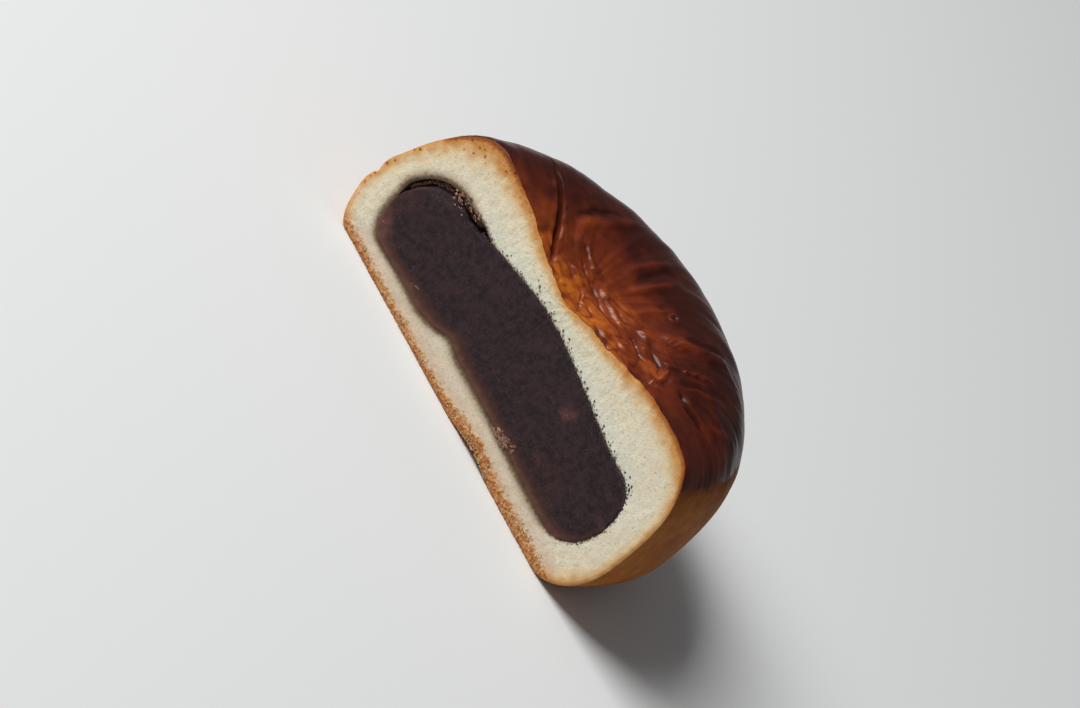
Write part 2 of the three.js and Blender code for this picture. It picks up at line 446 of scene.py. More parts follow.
def drawn_profile(name, outline, sizes):
    """A section at the +X end as an upright mesh line, with the place along it kept as along."""
    fresh_start()
    bpy.ops.curve.primitive_bezier_curve_add(enter_editmode=True)
    bpy.ops.curve.select_all(action="SELECT")
    bpy.ops.curve.subdivide(number_cuts=3)
    object_mode()
    ob = bpy.context.object
    ob.name = name
    spline = ob.data.splines[0]
    spline.resolution_u = COLUMNS
    for spot, point in enumerate(spline.bezier_points):
        point.handle_left_type = point.handle_right_type = "FREE"
        here = np.clip(np.array([spot, spot - 1 / 3, spot + 1 / 3]), 0, LAST)
        x, z = outline(sizes, 0 * here, here)
        point.co, point.handle_left, point.handle_right = [Vector((x[i], 0, z[i])) for i in range(3)]
    bpy.ops.object.convert(target="MESH")
    ob = bpy.context.object
    mesh = ob.data
    write(mesh, "along", np.linspace(0, 4, len(mesh.vertices)))
    edit(ob, "DESELECT")
    bpy.ops.mesh.select_mode(type="EDGE")
    lines = bmesh.from_edit_mesh(mesh)
    layer = lines.verts.layers.float["along"]
    for line in lines.edges:
        line.select_set(min(v[layer] for v in line.verts) > 2.999)
    bmesh.update_edit_mesh(mesh)
    bpy.ops.mesh.subdivide(number_cuts=3)
    object_mode()
    return ob


def spun_body(name, outline, sizes, steps):
    """A section spun half a turn about Z, to +Y: the object, and each vertex's along, turn and place."""
    ob = drawn_profile(name, outline, sizes)
    edit(ob)
    bpy.ops.mesh.spin(steps=steps, angle=-math.pi, center=(0, 0, 0), axis=(0, 0, 1))
    bpy.ops.mesh.select_all(action="SELECT")
    bpy.ops.mesh.remove_doubles(threshold=1e-6)
    object_mode()
    along, turn = read(ob.data, "along"), turn_of(places(ob.data))
    body = shaped(*outline(sizes, turn, along), turn)
    put(ob.data, body)
    return ob, along, turn, body


def ringed_inwards(ob, rings):
    """Extrudes the open edge ring by ring and keeps each ring's share of the way as inward."""
    write(ob.data, "inward", np.zeros(len(ob.data.vertices)))
    edit_open_edge(ob)
    for ring in range(1, rings + 1):
        bpy.ops.mesh.extrude_region_move()
        shape = bmesh.from_edit_mesh(ob.data)
        layer = shape.verts.layers.float["inward"]
        for v in shape.verts:
            if v.select:
                v[layer] = ring / rings
    object_mode()


def smooth(ob, angle):
    """Smooth shading with edges sharper than the angle kept."""
    only(ob)
    bpy.ops.object.shade_smooth_by_angle(angle=math.radians(angle))


def outwards(ob):
    """Faces point outwards."""
    edit(ob)
    bpy.ops.mesh.normals_make_consistent(inside=False)
    object_mode()


def hand_over(ob, bread, slot, *nodes):
    """Moves the mesh to the row frame, and says what it rides on and what it stands for. The slot is not
    used.
    """
    put(ob.data, places(ob.data) + middle_of_cut(bread))
    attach(ob, "root")
    if nodes:
        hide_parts(*nodes)


# ---- The bread


def bread_mesh(bread, paste):
    """The bread's mesh: skin, cut face and pocket, from two spun sections joined by rings."""
    skin, *_ = spun_body("baked_bread", dough_section, bread, bread.steps_around)
    ringed_inwards(skin, bread.face_rings)
    mesh = skin.data
    co = places(mesh)
    along, inward, turn = read(mesh, "along"), read(mesh, "inward"), turn_of(co)
    face = inward > 0
    turn[face] = np.round(turn[face])
    outer, inner = cut_edges(bread, paste, turn, along)
    flat = outer + (inner - outer) * ring_share(inward)[:, None]
    flat[:, 1] = 0
    co[face] = flat[face]
    put(mesh, co)

    pocket, *_ = spun_body("pocket", pocket_section, paste, paste.steps_around)
    write(pocket.data, "inward", np.ones(len(pocket.data.vertices)))
    only(skin)
    pocket.select_set(True)
    bpy.ops.object.join()
    edit(skin)
    bpy.ops.mesh.remove_doubles(threshold=2e-6)
    object_mode()
    outwards(skin)
    return skin


def radial_folds(co, x, y):
    """Folds drawn in to the dimple, with finer ones between them, and a fan of ridges on the +X half."""
    turn, reach = np.arctan2(np.maximum(y - 2, 0) + 1e-6, x), np.hypot(x, y)
    bend = turn + 0.010 * (reach - 10)
    folds = 0.8 * cloud(spokes(bend, reach, 2.6, 0.035), 0.42, 3)
    folds = (folds + 0.25 * cloud(spokes(bend, reach, 6.5, 0.05), 0.42, 4)) * window(reach, 14, 60, 7)
    turn, reach = np.arctan2(np.maximum(y - 4, 0) + 1e-6, x - 12), np.hypot(x - 12, y - 4)
    for count, height, seed in ((5, 0.5, 16), (11, 0.42, 20)):
        fan = np.clip(1 - 2.6 * np.abs(cloud(spokes(turn, reach, count, 0.04), 0.5, seed)), 0, 1)
        fan *= height * window(reach, 6, 20, 5) * window(x, 13, 60, 5)
        folds += fan * np.clip(0.5 + cloud(co, 5 * MM, seed + 2), 0, 1)
    return folds


def wrinkles(x, y, where, size, seed):
    """Puffs with thin pinched lines between them: their height, and how near the pinched line."""
    plan = np.stack([x / 1.9, y, 0 * x], 1)
    bent = [cloud(plan, 1.3 * size, seed), cloud(plan, 1.3 * size, seed + 1), 0 * x]
    plan += 0.45 * size * np.stack(bent, 1)
    away = np.abs(cloud(plan, size, seed + 2))
    strength = np.clip(0.55 + 1.1 * cloud(plan, 2.2 * size, seed + 3), 0.0, 1) * where
    return strength * (1 - np.exp(-away / 0.30)), strength * bell(away, 0, 0.06)


def drawn_strokes(co, x, y, top):
    """The strokes' relief in mm, how deep in a groove each vertex is, where shade is painted, and how high on
    a raised fold, where light is painted.
    """
    relief, groove_shade, lit_ridge = np.zeros((3, len(x)))
    waver = [axis + 0.4 * cloud(co, 2.2 * MM, seed) for axis, seed in ((x, 8), (y, 9))]
    broken = np.clip(0.8 + 0.9 * cloud(co, 1.3 * MM, 17), 0.3, 1.2)
    for depth, half_width, points in STROKES:
        away, share = to_stroke(*waver, points)
        line = bell(away, 0, half_width) * eased(np.clip(np.minimum(share, 1 - share) * 4, 0, 1)) * top
        if half_width < THIN:
            line *= broken
        relief -= depth * line
        if depth > 0:
            groove_shade = np.maximum(groove_shade, line * min(1, depth / 0.6))
        else:
            lit_ridge = np.maximum(lit_ridge, line)
    return relief, groove_shade, lit_ridge


def folds_and_creases(co, bread):
    """The top's relief in metres, how deep in a crease each vertex is, for painted shade, its amber tone with
    painted light and shade that follow the relief, and how it is dulled.
    """
    x, y, z = co.T / MM
    top = window(z, 27.0, 60.0, 2.0)
    folds = radial_folds(co, x, y)
    relief, groove_shade, lit_ridge = drawn_strokes(co, x, y, top)
    relief += bread.fold_depth / MM * folds * top

    wrinkled = window(x, -8.5, 15.5, 4.5) * window(y, -5, 8.5, 4.0) * top
    puffs, pinched = wrinkles(x, y, wrinkled, 2.1, 51)
    small_puffs, small_pinched = wrinkles(x, y, wrinkled, 1.1, 56)
    # Painted shade: the pinched lines between puffs darken the glaze.
    groove_shade = np.maximum(groove_shade, 0.22 * pinched + 0.10 * small_pinched)
    relief += bread.puff_height / MM * (puffs + 0.35 * small_puffs)
    relief += (0.16 * cloud(co, 4 * MM, 5) + 0.04 * cloud(co, 1.2 * MM, 6, 2)) * wrinkled

    waver = [axis + 0.14 * cloud(co, 1.8 * MM, seed) for axis, seed in ((x, 23), (y, 24))]
    away, share = to_stroke(*waver, DEEP_CREASE)
    shut = np.clip(np.minimum(share * 2.6, (1 - share) * 6), 0, 1) * top
    lip = bell(away, 0.95, 0.5) * np.clip(0.55 + cloud(co, 1.6 * MM, 25), 0, 1.1)
    relief += shut * (0.26 * lip - bread.crease_depth / MM * bell(away, 0, 0.34))
    # Painted shade in the deep crease.
    groove_shade = np.maximum(groove_shade, shut * bell(away, 0, 0.42))
    dull = shut * np.exp(-((away / 0.75) ** 4))
    ring = np.hypot(x - BUBBLE[0], y - BUBBLE[1])
    relief += 0.18 * bell(ring, 0.75, 0.26) - 0.10 * bell(ring, 0, 0.45)
    uneven = sum(height * bell(x, middle, width) for height, middle, width in EDGE_SWELLS)
    relief += uneven * bell(y, 0, 5) * top

    at_cut = bell(y, 0, 3.0)
    amber_and_painted_light = 0.11 + 0.50 * window(np.hypot((x - 2.0) / 1.7, y - 1), -1, 5.0, 14.0)
    amber_and_painted_light += 0.22 * bell(y, 0, 3.5) * window(x, -17, 8, 9) + 0.22 * at_cut * bell(x, -3, 5)
    amber_and_painted_light += 0.06 * bell(y, 0, 1.2) * window(x, -25, 10, 6)
    amber_and_painted_light += 0.45 * at_cut * (cloud(co, 1.5 * MM, 26) - 0.15) * window(x, -12, 15, 4)
    # Painted light and shade that follow the relief: lighter on raised folds, ridges, puff tops and the
    # bubble's raised ring, darker where the puffs pinch.
    amber_and_painted_light += 0.08 * folds + 0.16 * lit_ridge
    amber_and_painted_light += 0.34 * (puffs - 0.4 * wrinkled) + 0.20 * (small_puffs - 0.3 * wrinkled)
    amber_and_painted_light += 0.12 * window(x, 31, 60, 6) * window(z, -1, 31, 3) + 0.22 * bell(ring, 0.75, 0.3)
    amber_and_painted_light -= 0.10 * window(x, 17, 26, 8) + 0.10 * window(x, -60, -17, 6) + 0.13 * window(y, 20, 90, 8)
    return relief * MM, groove_shade, np.clip(amber_and_painted_light, 0, 1), dull


def cut_depth(co, inward, along, bread, paste):
    """How deep each vertex of the cut face lies, in mm, from the skin, from the base and from the paste."""
    outer, inner = cut_edges(bread, paste, (co[:, 0] < 0).astype(float), along)
    width = np.linalg.norm(outer - inner, axis=1) / MM
    share = ring_share(inward)
    on_base = window(along, -1, 1.25, 0.35)
    return {
        "skin": np.where(inward > 0, share * width, 0),
        "base": np.where(on_base > 0, co[:, 2] / MM + (1 - on_base) * 6, 40),
        "paste": np.where(inward > 0, (1 - share) * width, 20),
    }


def bread_relief(ob, bread, paste):
    """Everything uneven on the bread, and the fields that its finish reads."""
    mesh = ob.data
    co, out = places(mesh), vectors(mesh, "normal")
    along, inward, turn = read(mesh, "along"), read(mesh, "inward"), turn_of(co)
    x, y, z = co.T / MM
    skin, pocket = inward <= 0, (inward >= 1) & (y > 0.05)
    face, edge = ~skin & ~pocket, (y < 0.02) & skin

    relief, groove_shade, amber_and_painted_light, dull = folds_and_creases(co, bread)
    base = window(along, -1, 1.04, 0.12)
    relief += cloud(co, 13 * MM, 1) * 0.22 * MM * (1 - base)
    relief += cloud(co, 3.2 * MM, 2) * 0.035 * MM * window(along, 1.2, 2.4, 0.3)
    relief += base * cloud(co, 0.75 * MM, 7, 2) * 0.10 * MM
    border = z - round_the_bun(bread.glaze_height, turn) / MM
    border = np.where(along > 3, np.maximum(border, 3), border)
    relief += 0.05 * MM * window(border, 0.0, 60.0, 0.5)
    nibbled = (1 + 0.5 * window(x, -12, 14, 4)) * (along > 2.6)
    uneven_lip = (0.34 * cloud(co, 2.2 * MM, 10) + 0.16 * cloud(co, 0.9 * MM, 19)) * nibbled
    relief += MM * bell(y, 0, 0.9) * (uneven_lip + 0.16 * cloud(co, 0.9 * MM, 15, 2) * base)

    # the side has a notch near the -X end of the cut, and the base is hollow under the +X half
    notch = bell(z, 10.6, 0.55) * window(turn, 0.9, 1.1, 0.1)
    bulge = (bell(z, 7.6, 1.7) + bell(z, 13.2, 1.9)) * window(turn, 0.86, 1.1, 0.14)
    relief += MM * (0.38 * bulge - 0.75 * notch) * (along > 1)
    hollow = 0.9 * bell(x, 9.0, 4.6) * bell(y, 0, 8.0) * np.clip(1 - z / 5, 0, 1)

    shift = np.where(skin, relief, 0)[:, None] * out
    shift[edge, 1] = 0
    moved = co + shift
    moved[:, 2] += MM * hollow * ~pocket
    moved[skin, 2] = np.maximum(moved[skin, 2], 0)

    # the rings of the cut face follow the skin's edge, less and less towards the paste
    key = np.round(along * 1000).astype(int) * 2 + (x < 0)
    edge_shift = dict(zip(key[edge], (moved - co)[edge]))
    for i in np.nonzero(face & (y < 0.02))[0]:
        moved[i] += edge_shift.get(key[i], 0) * (1 - inward[i]) ** 1.5
    depth = cut_depth(co, inward, along, bread, paste)
    knife = cloud(co, 9 * MM, 11) * 0.10 + cloud(co, 1.3 * MM, 12, 2) * 0.05 + cloud(co, 0.5 * MM, 13) * 0.055
    low = np.clip(1 - depth["base"] / 3.2, 0, 1) * (depth["base"] < 20)
    knife += low * cloud(co, 0.8 * MM, 14, 2) * 0.22
    rounded = 0.14 * bell(depth["skin"], 0, 0.22)
    rounded += 0.12 * window(inward, 0.965, 2, 0.05) * window(along, 2.2, 5, 0.5)
    moved[face, 1] += (rounded + knife * np.clip(depth["skin"] / 0.5, 0, 1))[face] * MM
    moved[edge, 1] += 0.14 * MM
    put(mesh, moved)

    bristly = (0.2 + 0.7 * window(turn, 0.16, 0.95, 0.12)) * cloud(spokes(np.pi * turn, z, 60, 0.5), 1.4, 21)
    ends = (np.interp(along, BAND_PLACES, widths) for widths in (BAND_AT_X, BAND_AT_MINUS_X))
    corner = bell(x, -25, 6.5) * window(z, 25, 60, 4)
    glazed = window(border, 0, 60, 3.0)
    rind = glazed * np.clip(1 - depth["skin"] / 0.85, 0, 1) * np.clip(1.15 - 1.7 * amber_and_painted_light, 0, 1)
    fields = {
        "glaze": border + bristly + 0.8 * cloud(co, 4 * MM, 22),
        # The glaze's amber tone carries painted light and shade, and the crease field marks where shade is
        # painted.
        "amber_and_painted_light": amber_and_painted_light,
        "crease": groove_shade,
        "dull": np.maximum(dull, 0.6 * bell(y, 0, 0.22)),
        "browned": depth["skin"] / np.where(x > 0, *ends) - 0.4 * corner - 0.15 * glazed,
        "rind": rind * (1 + 0.7 * corner),
        "base_depth": depth["base"],
        "paste_depth": depth["paste"],
    }
    for name, values in fields.items():
        write(mesh, name, values)


# ---- The bean paste


def paste_mesh(paste):
    """The bean paste as one closed body with a flat cut face and an even fine mesh."""
    ob, along, turn, body = spun_body("sweet_bean_paste", paste_section, paste, paste.steps_around * 2)
    cut = body[:, 1] < 1.5 * MM
    ragged = cloud(body, 0.8 * MM, 31, 2) * 0.30 * window(along, 2.3, 5, 0.4)
    ragged += cloud(body, 3.5 * MM, 32) * 0.18
    ragged -= 0.6 * steam_void(turn, along)
    spread = np.stack([np.cos(np.pi * turn), 0 * turn, np.where(along > 2.2, 1.0, -0.4)], 1)
    put(ob.data, body + spread * (ragged * cut * MM)[:, None])
    edit_open_edge(ob)
    bpy.ops.mesh.edge_face_add()
    object_mode()
    outwards(ob)
    remesh = ob.modifiers.new("Even mesh", "REMESH")
    remesh.mode = "VOXEL"
    remesh.voxel_size = paste.grain
    remesh.use_smooth_shade = True
    bpy.ops.object.modifier_apply(modifier=remesh.name)
    return ob


def paste_relief(ob, paste):
    """The cut paste's fine grain, knife marks and rounded shoulder beside the steam gap."""
    mesh = ob.data
    co = places(mesh)
    x, y, z = co.T / MM
    front = window(y, -1, 0.3, 0.25)
    knife = cloud(co, 8 * MM, 41) * 0.08 + cloud(co * (1, 1, 0.55), 0.9 * MM, 42, 2) * 0.055
    knife += cloud(co, 0.45 * MM, 43) * 0.04
    shoulder = np.hypot((x + 29.5) / 5.0, (z - 20.5) / 3.2)
    sunk = 1.1 * np.clip(1.25 - shoulder, 0, 1)
    above_floor = z - paste_edge(paste, co[:, 0], False) / MM
    tucked = window(above_floor, -5, 0.0, 0.9) * window(z, -5, 14, 4)
    co[:, 1] += front * (knife - paste.proud / MM * (1 - 1.6 * tucked) + sunk) * MM
    put(mesh, co)
    tear_x, tear_z = x + 1.2 * cloud(co, 1.6 * MM, 44), z + 1.2 * cloud(co, 1.6 * MM, 45)
    skins = [
        amount * bell(np.hypot(tear_x - patch_x, tear_z - patch_z), 0, size)
        for patch_x, patch_z, size, amount in SKIN_PATCHES
    ]
    red = window(above_floor, -5, 0.3, 3.2) + 0.4 * bell(x, -31.5, 2.5) + 0.3 * cloud(co, 5 * MM, 46)
    stain = window(above_floor, -5, 0.2, 1.5) * window(x, -60, 26, 6) * (1 + 0.8 * cloud(co, 1.1 * MM, 47))
    for name, values in (("bean_skin", np.max(skins, axis=0) * 1.2), ("red", red), ("stain", stain)):
        write(mesh, name, np.clip(values, 0, 1))


# ---- Scraps


def scattered(name, spots, sizes, tints, squash, seed):
    """One mesh of many small rough lumps: one made at each spot, turned and misshapen by chance."""
    fresh_start()
    bpy.ops.mesh.primitive_ico_sphere_add(subdivisions=1, radius=1)
    ob = bpy.context.object
    ob.name = name
    lump = places(ob.data)
    faces = np.array([p.vertices[:] for p in ob.data.polygons])
    chance = np.random.default_rng(seed)
    corners = []
    for spot, size in zip(spots, sizes):
        turned = lump * chance.uniform(0.75, 1.2, (len(lump), 1))
        angle = chance.uniform(0, 2 * math.pi)
        turned = turned * (1.0, 1.0, chance.uniform(0.5, 1.0))
        turned = turned @ np.array(Matrix.Rotation(angle, 3, Vector(chance.normal(size=3)).normalized()))
        corners.append(turned * size * np.array(squash) + spot)
    sides = faces + len(lump) * np.arange(len(corners))[:, None, None]
    mesh = bpy.data.meshes.new(name)
    mesh.from_pydata(np.concatenate(corners).tolist(), [], sides.reshape(-1, 3).tolist())
    write(mesh, "tint", np.repeat(tints, len(lump)))
    ob.data = mesh
    smooth(ob, 60)
    return ob


def heaps(chance, homes, spread):
    """Spots, sizes and tints of flakes in small heaps on the cut."""
    spots, sizes = [], []
    for home_x, home_z, count, size in homes:
        for _ in range(count):
            dx, dz = chance.normal(0, spread, 2)
            spots.append(((home_x + dx) * MM, -0.10 * MM, (home_z + 0.6 * dz) * MM))
            sizes.append(size * MM * chance.uniform(0.5, 1.1))
    return np.array(spots), sizes, chance.uniform(0, 1, len(spots))


def dragged_crumbs(chance, paste, scraps):
    """Spots, sizes and tints of paste crumbs in clusters along the paste's upper edge."""
    weights = np.array([share for _, _, share in EDGE_CLUSTERS], float)
    picks = chance.choice(len(EDGE_CLUSTERS), scraps.crumb_count, p=weights / weights.sum())
    x = np.array([chance.uniform(*EDGE_CLUSTERS[i][:2]) for i in picks])
    above = chance.exponential(0.26, len(x)) - 0.25 + 0.9 * (chance.uniform(0, 1, len(x)) > 0.975)
    spots = np.stack([x, chance.uniform(-0.05, 0.05, len(x)), 0 * x], 1) * MM
    spots[:, 2] = paste_edge(paste, spots[:, 0], True) + above * MM
    sizes = scraps.crumb_size * chance.uniform(0.3, 1.0, len(x)) * np.where(above > 0.6, 1.5, 1)
    return spots, sizes, chance.uniform(0, 1, len(x))


def gap_filling(chance, scraps):
    """Spots, sizes and tints of the brown crumb in the steam gap, set deep and dark as painted shade in the
    gap.
    """
    arc = chance.uniform(0, 1, scraps.gap_crumb_count)
    x = np.interp(arc, GAP_SHARES, GAP_X)
    z = np.interp(arc, GAP_SHARES, GAP_Z) + chance.uniform(-0.5, 0.5, len(arc))
    spots = np.stack([x, chance.uniform(0.45, 1.5, len(arc)), z], 1) * MM
    sizes = MM * chance.uniform(0.10, 0.28, len(arc))
    return spots, sizes, chance.uniform(0, 1, len(arc))


def base_grains(chance, scraps):
    """Spots, sizes and tints of the toasted grains, some of them on the very edge of the base."""
    x = chance.uniform(-34.0, 31.5, scraps.grain_count)
    room = np.where(x > 2, 2.7, 1.7) * np.clip((35.5 - np.abs(x + 1)) / 4, 0.4, 1)
    z = 0.12 + chance.uniform(0, 1, len(x)) ** 1.4 * room
    rim = chance.uniform(0, 1, len(x)) < 0.3
    z = np.where(rim, chance.uniform(0.12, 0.3, len(x)), z) + 0.8 * bell(x, 9.0, 4.6)
    spots = np.stack([x, chance.uniform(0.02, 0.12, len(x)) - 0.12 * rim, z], 1) * MM
    sizes = scraps.grain_size * chance.uniform(0.4, 1.0, len(x)) * np.clip(z, 0.45, 1)
    return spots, sizes, chance.uniform(0, 1, len(x)) ** 0.7


# ---- Finishes


class Finish:
    """Adds nodes to a material or node group in few words."""

    def __init__(self, tree):
        self.tree = tree

    def add(self, kind, settings=None, **inputs):
        """A node with its settings and inputs."""
        made = self.tree.nodes.new(kind)
        for key, value in (settings or {}).items():
            setattr(made, key, value)
        for key, value in inputs.items():
            self.set(made, key, value)
        return made

    def set(self, made, key, value):
        """Links a socket to an input, or sets the input's own value."""
        socket = made.inputs[key]
        if isinstance(value, bpy.types.NodeSocket):
            self.tree.links.new(value, socket)
        else:
            socket.default_value = (*value, 1) if socket.type == "RGBA" else value

    def math(self, operation, *values, clamp=False):
        """One sum of two or three values."""
        made = self.add("ShaderNodeMath", {"operation": operation, "use_clamp": clamp})
        for i, value in enumerate(values):
            self.set(made, i, value)
        return made.outputs[0]

    def plus(self, first, *others):
        """All the values added up."""
        for value in others:
            first = self.math("ADD", first, value)
        return first

    def times(self, a, b):
        """The product of two values."""
        return self.math("MULTIPLY", a, b)

    def swing(self, value, amount):
        """A value from 0 to 1 spread over the amount, with its middle at 0."""
        return self.math("MULTIPLY_ADD", value, amount, -amount / 2)

    def mix(self, share, a, b, blend="MIX"):
        """From a to b by the share."""
        made = self.add("ShaderNodeMix", {"data_type": "RGBA", "blend_type": blend})
        for i, value in ((0, share), (6, a), (7, b)):
            self.set(made, i, value)
        return made.outputs[2]

    def tint(self, share, colour, by):
        """A colour multiplied by another, by the share."""
        return self.mix(share, colour, by, "MULTIPLY")

    def field(self, name):
        """A field written on the mesh."""
        return self.add("ShaderNodeAttribute", {"attribute_name": name}).outputs["Fac"]

    def where(self, scale=(1, 1, 1)):
        """The place in the object, with its axes scaled."""
        place = self.add("ShaderNodeTexCoord").outputs["Object"]
        if scale == (1, 1, 1):
            return place
        return self.add("ShaderNodeMapping", Vector=place, Scale=scale).outputs[0]

    def noise(self, size, detail=2.0, scale=(1, 1, 1), rough=0.5):
        """Smooth noise from 0 to 1 in lumps of that size."""
        made = self.add("ShaderNodeTexNoise", Vector=self.where(scale), Scale=1 / size)
        self.set(made, "Detail", detail)
        self.set(made, "Roughness", rough)
        return made.outputs[0]

    def cells(self, size, out="Distance"):
        """Distance to the nearest of many scattered points, or a value of its own for each."""
        return self.add("ShaderNodeTexVoronoi", Vector=self.where(), Scale=1 / size).outputs[out]

    def fade(self, value, low, high, to_low=0.0, to_high=1.0):
        """A gentle step from to_low to to_high as the value goes from low to high."""
        made = self.add("ShaderNodeMapRange", {"interpolation_type": "SMOOTHSTEP"})
        for i, v in enumerate((value, low, high, to_low, to_high)):
            self.set(made, i, v)
        return made.outputs[0]

    def ramped(self, name, share, stops):
        """A colour from a shared ramp group, which is made the first time."""
        group = bpy.data.node_groups.get(name) or ramp_group(name, stops)
        return self.add("ShaderNodeGroup", {"node_tree": group}, Share=share).outputs["Colour"]

    def bump(self, shader, height, strength, depth):
        """Raises the surface of the shader by the height."""
        made = self.add("ShaderNodeBump", Height=height, Strength=strength, Distance=depth)
        self.set(shader, "Normal", made.outputs[0])


def new_finish(name):
    """A material with the helper to add nodes to it, and its Principled shader."""
    material = bpy.data.materials.new(name)
    material.use_nodes = True
    return material, Finish(material.node_tree), material.node_tree.nodes["Principled BSDF"]


def ramp_group(name, stops):
    """A node group that turns a share from 0 to 1 into a colour."""
    group = bpy.data.node_groups.new(name, "ShaderNodeTree")
    group.interface.new_socket("Share", in_out="INPUT", socket_type="NodeSocketFloat")
    group.interface.new_socket("Colour", in_out="OUTPUT", socket_type="NodeSocketColor")
    start, end = group.nodes.new("NodeGroupInput"), group.nodes.new("NodeGroupOutput")
    ramp = Finish(group).add("ShaderNodeValToRGB", Fac=start.outputs["Share"])
    for i, (place, colour) in enumerate(stops):
        stop = ramp.color_ramp.elements[i] if i < 2 else ramp.color_ramp.elements.new(place)
        stop.position, stop.color = place, (*colour, 1)
    group.links.new(ramp.outputs["Color"], end.inputs["Colour"])
    return group


def crust_finish():
    """Glazed mahogany top with an amber dimple, painted light on its raised folds and painted shade in its
    creases, and a matt tan side with painted shade towards its +X end.
    """
    material, n, shader = new_finish("Crust")
    wide, mid, fine = n.noise(9 * MM, 3), n.noise(2.0 * MM, 3), n.noise(0.5 * MM, 2)
    crease, dull = n.field("crease"), n.field("dull")
    x = n.add("ShaderNodeSeparateXYZ", Vector=n.where()).outputs[0]
    hairs = n.swing(n.noise(0.4 * MM, 2, (1, 1, 0.22)), 1.0)
    patchy = n.fade(n.noise(5 * MM, 2), 0.35, 0.65, 0.35, 1.25)
    bristle = n.times(n.fade(x, 16 * MM, 27 * MM, 3.2, 0.8), patchy)
    border = n.plus(n.field("glaze"), n.times(hairs, bristle))
    glaze, soaked = n.fade(border, -0.35, 0.4), n.fade(border, -1.4, 0.4)

    lumps = n.swing(n.noise(4.5 * MM, 3), 0.44)
    amber_and_painted_light = n.plus(n.field("amber_and_painted_light"), n.swing(mid, 0.34), n.swing(wide, 0.50), lumps)
    # Painted shade: the glaze darkens in creases, grooves and pinched lines.
    top = n.ramped("Glaze Colour", n.math("MULTIPLY_ADD", crease, -0.6, amber_and_painted_light), GLAZED)
    bake = n.plus(
        n.fade(wide, 0.32, 0.68, 0.50, 0.60),
        n.swing(mid, 0.16),
        n.swing(n.noise(0.45 * MM, 3, rough=0.7), 0.20),
        n.fade(n.field("glaze"), -22.0, -3.0, -0.03, 0.03),
        n.times(soaked, 0.16),
        # Painted shade: the side darkens towards the +X end.
        n.fade(x, 20 * MM, 34 * MM, 0.0, 0.06),
    )
    n.set(shader, "Base Color", n.mix(glaze, n.ramped("Baked Colour", bake, BAKED), top))

    rough = n.mix(glaze, n.math("MULTIPLY_ADD", mid, 0.18, 0.56), n.math("MULTIPLY_ADD", mid, 0.2, 0.36))
    n.set(shader, "Roughness", n.mix(dull, rough, (1, 1, 1)))
    coat = n.math("MULTIPLY_ADD", crease, -0.8, glaze, clamp=True)
    n.set(shader, "Coat Weight", n.times(n.math("SUBTRACT", coat, dull, clamp=True), 0.38))
    n.set(shader, "Coat Roughness", 0.26)
    n.set(shader, "Specular IOR Level", 0.06)

    skin = n.plus(n.times(fine, 0.35), n.times(n.noise(1.1 * MM, 4, rough=0.6), 0.8))
    pores = n.fade(n.cells(0.55 * MM), 0.05, 0.30)
    ripples = n.times(n.noise(0.42 * MM, 2, (1, 1, 0.14)), n.fade(n.field("glaze"), 0.5, 7.0, 1.0, 0.1))
    n.bump(shader, n.mix(glaze, n.plus(skin, n.times(pores, 0.3)), n.plus(skin, ripples)), 0.28, 0.12 * MM)
    return material


